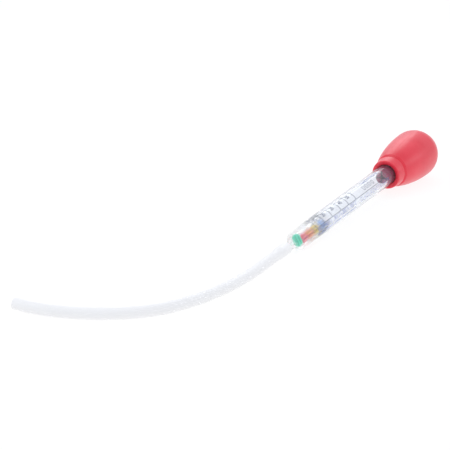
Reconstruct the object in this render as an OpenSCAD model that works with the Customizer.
// Floating-ball coolant tester: a rubber squeeze bulb on a clear barrel that holds
// five coloured floats, with a clear suction hose pushed over the barrel's nozzle.
// It lies on its side on the ground plane. +X runs from the nozzle to the bulb.

/* [Barrel] */
// Outer radius of the barrel behind its domed nose
barrel_r = 8; // [7.5:0.1:8.3]
// Outer radius of the barrel where it ends inside the bulb
barrel_end_r = 8.8; // [8.4:0.05:8.85]
// Length of the barrel behind its nose
barrel_len = 178; // [172:1:180]
// Length of the domed nose
nose_len = 6; // [5.5:0.1:7]
// Radius of the bore that the floats run in
bore_r = 5.3; // [5.2:0.05:5.6]

/* [Nozzle] */
// Distance from the back of the nose to the nozzle's tip
nozzle_tip = 31; // [29:0.5:32]
// Outer radius of the nozzle
nozzle_r = 3.4; // [3.3:0.05:3.5]
// Radius of the passage through the nozzle
passage_r = 1.7; // [1.2:0.1:2]

/* [Bulb] */
// Largest outer radius of the bulb
bulb_r = 21.2; // [19:0.1:23]
// Distance from the nose to the widest place of the bulb
bulb_at = 220; // [215:1:222]
// Length of the rounded end behind the widest place
bulb_end_len = 22.5; // [19:0.5:24]
// Length of the curve in front of the widest place, if it ran on to a point
bulb_front_len = 67; // [64:1:74]
// Thickness of the rubber wall
bulb_wall = 2.6; // [2:0.1:3.2]
// Radius of the hole in the collar that holds the barrel
mouth_r = 8.88; // [8.86:0.01:8.95]

/* [Floats] */
// Radius of a float
float_r = 3.4; // [3:0.1:3.5]
// Length of a float
float_len = 9.6; // [8:0.1:9.7]
// Turn of the float that stands across the bore in the nose, from upright, in degrees
cross_turn = 26; // [0:1:90]

/* [Hose] */
// Outer diameter of the hose
hose_od = 8; // [7.6:0.1:8.4]
// Inner diameter of the hose
hose_id = 5.5; // [5:0.1:5.7]

/* [Hidden] */
$fn = 96;

// Places along the barrel's axis, counted from the back of the nose towards the bulb
seat_at = -1.8;            // where the bore starts to narrow
seat_end = -4.3;           // where the bore has narrowed to the passage
stop_at = 150;             // front of the ball stop
stop_len = 19;
collar_front = 160.8;      // centre of the collar's front roll
collar_back = 168.6;       // centre of the collar's rear roll
neck_at = 171.6;           // the bulb's side starts here, behind the collar
neck_end = 180;            // the rubber that grips the barrel ends here
hose_at = -16.5;           // mouth of the hose, pushed on over the nozzle
sleeve_end = -36;          // the hose's round, straight start ends here
sweep_at = -34;            // the hose's free run starts here, inside that straight start

// The collar's two rolls: radius of each roll, and of the circle that its centre runs on
front_roll = 1;
front_ring = 11.4;
back_roll = 1.5;
back_ring = 11.85;

front_power = 1.88;        // fullness of the bulb's curve in front of its widest place
end_power = 1.9;           // and of its rounded end
fit_gap = 0.05;            // between pieces that touch and slide
grip = 0.05;               // the hose and the ball stop are this much tighter than what they grip
roll_n = 6;                // points on a quarter round of an outline

// Radius of the bulb at a distance in front of its widest place, and behind it
function oval(d, len, r, power) = r * pow(1 - pow(d / len, power), 1 / power);
function front_radius(d) = oval(d, bulb_front_len, bulb_r, front_power);

// The tester lies on its nose and its bulb, so the axis rises towards the bulb.
// axis_h is the height of the axis at the back of the nose.
function axis_h(t) = sqrt(pow(nose_len * sin(t), 2) + pow(barrel_r * cos(t), 2));
function bulb_reach(t) = max([for (d = [0:0.5:30]) front_radius(d) * cos(t) + d * sin(t)]);
function lean_step(t) = asin((bulb_reach(t) - axis_h(t)) / bulb_at);
lean = lean_step(lean_step(lean_step(lean_step(3))));
nose_h = axis_h(lean);

// Half way from the nozzle's tip to the end of the bulb
tip_r = 2.7;
low_x = -nozzle_tip * cos(lean) - tip_r * sin(lean);
high_x = bulb_at * cos(lean) + max([for (d = [0:0.1:5]) (bulb_end_len - d) * cos(lean)
    + oval(bulb_end_len - d, bulb_end_len, bulb_r, end_power) * sin(lean)]);
mid_x = (low_x + high_x) / 2;

// Floats lie on the bottom of the bore, one behind the other. The first one stands
// across the bore, where the bore begins to narrow.
float_round = 2.4;         // rounding of a float's ends
float_drop = bore_r - float_r - fit_gap;
cross_at = 0.4;
cross_drop = 0.15;
first_float_at = cross_at + float_r + fit_gap + float_len / 2;
function float_at(i) = first_float_at + i * (float_len + fit_gap);

// The hose's free run: x from the nose towards the bulb, y to the left, and the height of
// the hose's centre over where it lies flat on the ground
route = [
    [-44, 0, 1.4], [-54, 0, 0.7], [-64, 0, 0.2], [-76, 0, 0], [-90, 0.5, 0],
    [-103, 2, 0], [-115, 4, 0], [-126, 6.5, 0], [-136, 10, 0], [-144.5, 13.5, 0],
    [-152.5, 17.5, 0], [-159.5, 22.5, 0], [-166, 28, 0], [-171.5, 34, 0], [-176.5, 40.5, 0],
    [-181, 47.5, 0], [-185, 55, 0], [-188.5, 63, 0], [-191.5, 71.5, 0], [-194, 80.5, 0],
    [-195.5, 90, 0], [-196, 96, 0]
];
tip_len = 12.5;              // the straight, round end of the hose
tip_overlap = 2;           // the free run reaches this far into it
sides = 10;
skin = 0.03;               // the free run's outside is this much inside the round ends
inner_room = 0.2;          // its bore is this much wider than theirs
steps = 3;                 // rings from one point of the route to the next

// Points of an arc round [x, y], from one angle to another
function arc(x, y, r, from, to, n = roll_n) =
    [for (i = [0:n]) let (a = from + (to - from) * i / n) [x + r * cos(a), y + r * sin(a)]];

// Lays a piece that is drawn along +Z down along the barrel's axis
module lay_down() {
    translate([-mid_x, 0, nose_h]) rotate([0, 90 - lean, 0]) children();
}

function barrel_radius(z) = barrel_r + (barrel_end_r - barrel_r) * z / barrel_len;

// ---------- bulb ----------

// Outline of the bulb behind the collar, moved in by the thickness of a wall, as [radius, place]
function bulb_side(inset, start) = concat(
    [for (i = [0:20]) let (d = (bulb_at - start) * (1 - i / 20))
        [front_radius(d) - inset, bulb_at - d]],
    [for (i = [1:18]) let (d = (bulb_end_len - inset) * sin(90 * i / 18))
        [oval(d, bulb_end_len - inset, bulb_r - inset, end_power), bulb_at + d]]
);

module collar_outline() {
    translate([front_ring, collar_front]) circle(r = front_roll);
    translate([back_ring, collar_back]) circle(r = back_roll);
    polygon([
        [mouth_r, collar_front - front_roll + 0.5],
        [front_ring, collar_front - front_roll],
        [front_ring + front_roll, collar_front],
        [back_ring + back_roll, collar_back],
        [back_ring, collar_back + back_roll],
        [front_radius(bulb_at - neck_at) - 1, neck_at + 1],
        [mouth_r, neck_at + 1]
    ]);
}

module bulb() {
    color("#d8404f") lay_down() rotate_extrude() difference() {
        union() {
            collar_outline();
            polygon(concat([[0, neck_at]], bulb_side(0, neck_at)));
        }
        polygon(concat([[0, neck_end]], bulb_side(bulb_wall, neck_end)));
        square([mouth_r, neck_end + 1]);
    }
}

// ---------- barrel ----------

module barrel() {
    color("#e8f0f6", 0.5) lay_down() difference() {
        union() {
            rotate_extrude() polygon(concat(
                [for (i = [0:12]) let (a = 90 * i / 12)
                    [barrel_r * sin(a), -nose_len * cos(a)]],
                [[barrel_end_r, barrel_len], [0, barrel_len]]
            ));
            nozzle();
        }
        translate([0, 0, seat_at]) cylinder(r = bore_r, h = barrel_len);
        translate([0, 0, seat_end])
            cylinder(r1 = passage_r, r2 = bore_r, h = seat_at - seat_end);
        translate([0, 0, -nozzle_tip - 1]) cylinder(r = passage_r, h = nozzle_tip + 1);
    }
}

module nozzle() {
    lead = 4;
    translate([0, 0, -nozzle_tip]) cylinder(r1 = tip_r, r2 = nozzle_r, h = lead);
    translate([0, 0, lead - nozzle_tip]) cylinder(r = nozzle_r, h = nozzle_tip - lead - 4);
    // small fillet where the nozzle meets the nose
    translate([0, 0, -nose_len - 1.5]) cylinder(r1 = nozzle_r, r2 = nozzle_r + 1.6, h = 2.5);
}

// ---------- ball stop ----------

module ball_stop() {
    hole_r = 1.8;
    notch_w = 1.4;
    notch_depth = 2;
    color("#5a2338") lay_down() translate([0, 0, stop_at]) difference() {
        cylinder(r = bore_r + grip, h = stop_len);
        translate([0, 0, -1]) cylinder(r = hole_r, h = stop_len + 2);
        // cross cut in the front face, so that a float can't close the hole
        for (turn = [0, 90]) rotate(turn)
            translate([-bore_r, -notch_w / 2, -1]) cube([2 * bore_r, notch_w, notch_depth + 1]);
    }
}

// ---------- floats ----------

// A round pellet on the Z axis, centred, with rounded edges
module pellet(r, len, round) {
    rotate_extrude() polygon(concat(
        [[0, -len / 2]],
        arc(r - round, round - len / 2, round, -90, 0),
        arc(r - round, len / 2 - round, round, 0, 90),
        [[0, len / 2]]
    ));
}

module lying_float(i) {
    lay_down() translate([float_drop, 0, float_at(i)]) pellet(float_r, float_len, float_round);
}

module float_green() {
    color("#8fd0b8") lay_down() translate([cross_drop, 0, cross_at]) rotate([0, 90, -cross_turn])
        pellet(float_r, float_len, float_round);
}

module float_red() { color("#e0607c") lying_float(0); }

module float_orange() { color("#ee9468") lying_float(1); }

module float_yellow() { color("#eac25c") lying_float(2); }

module float_blue() { color("#86a8e6") lying_float(3); }

// ---------- hose ----------

hose_r = hose_od / 2;
hose_in = hose_id / 2;
function on_axis(z) = [z * cos(lean), 0, nose_h + z * sin(lean) - hose_r];

// The free run starts on the barrel's axis and then follows the route
knots = concat([on_axis(2 * sweep_at + 44), on_axis(sweep_at)], route, [route[len(route) - 1] + [0, 6, 0]]);
function knot_curve(a, b, c, d, t) =
    (2 * b + (c - a) * t + (2 * a - 5 * b + 4 * c - d) * t * t
        + (3 * b - a - 3 * c + d) * t * t * t) / 2;
centres = concat(
    [for (i = [1:len(knots) - 3]) for (k = [0:steps - 1])
        knot_curve(knots[i - 1], knots[i], knots[i + 1], knots[i + 2], k / steps)],
    [knots[len(knots) - 2]]
);
function unit(v) = v / norm(v);
function heading(i) = unit(centres[min(i + 1, len(centres) - 1)] - centres[max(i - 1, 0)]);
function ring(i, r) = let (
        ahead = heading(i),
        side = unit(cross([0, 0, 1], ahead)),
        top = cross(ahead, side)
    ) [for (k = [0:sides - 1]) let (a = 360 * (k + 0.5) / sides)
        centres[i] + [-mid_x, 0, hose_r] + r * (cos(a) * side + sin(a) * top)];

// The hollow free run, as one closed surface: outer wall, inner wall and two ring ends
module free_run() {
    last = len(centres) - 1;
    n = len(centres) * sides;
    outer = [for (i = [0:last]) each ring(i, hose_r - skin)];
    inner = [for (i = [0:last]) each ring(i, (hose_in + inner_room) / cos(180 / sides))];
    function at(i, k) = i * sides + k % sides;
    polyhedron(
        points = concat(outer, inner),
        faces = concat(
            [for (i = [0:last - 1]) for (k = [0:sides - 1])
                [at(i, k), at(i + 1, k), at(i + 1, k + 1), at(i, k + 1)]],
            [for (i = [0:last - 1]) for (k = [0:sides - 1])
                [n + at(i, k), n + at(i, k + 1), n + at(i + 1, k + 1), n + at(i + 1, k)]],
            [for (k = [0:sides - 1]) [at(0, k), at(0, k + 1), n + at(0, k + 1), n + at(0, k)]],
            [for (k = [0:sides - 1])
                [at(last, k), n + at(last, k), n + at(last, k + 1), at(last, k + 1)]]
        ),
        convexity = 8
    );
}

// The stretched start that grips the nozzle
module hose_mouth() {
    flare = 1.25;
    wall = hose_r - hose_in;
    rotate_extrude() polygon([
        [nozzle_r - grip, hose_at],
        [nozzle_r - grip + flare, hose_at],
        [nozzle_r - grip + flare, -27],
        [hose_in + wall, -33],
        [hose_in + wall, sleeve_end],
        [hose_in, sleeve_end],
        [hose_in, -32],
        [nozzle_r - grip, -27]
    ]);
}

// The straight free end, with a round bore
module hose_tip() {
    end = route[len(route) - 1];
    translate([end.x - mid_x, end.y - tip_overlap, hose_r]) rotate([-90, 0, 0]) difference() {
        cylinder(r = hose_r, h = tip_len);
        translate([0, 0, -1]) cylinder(r = hose_in, h = tip_len + 2);
    }
}

module hose() {
    color("#eef2f8", 0.6) {
        lay_down() hose_mouth();
        free_run();
        hose_tip();
    }
}

bulb();
barrel();
ball_stop();
float_green();
float_red();
float_orange();
float_yellow();
float_blue();
hose();
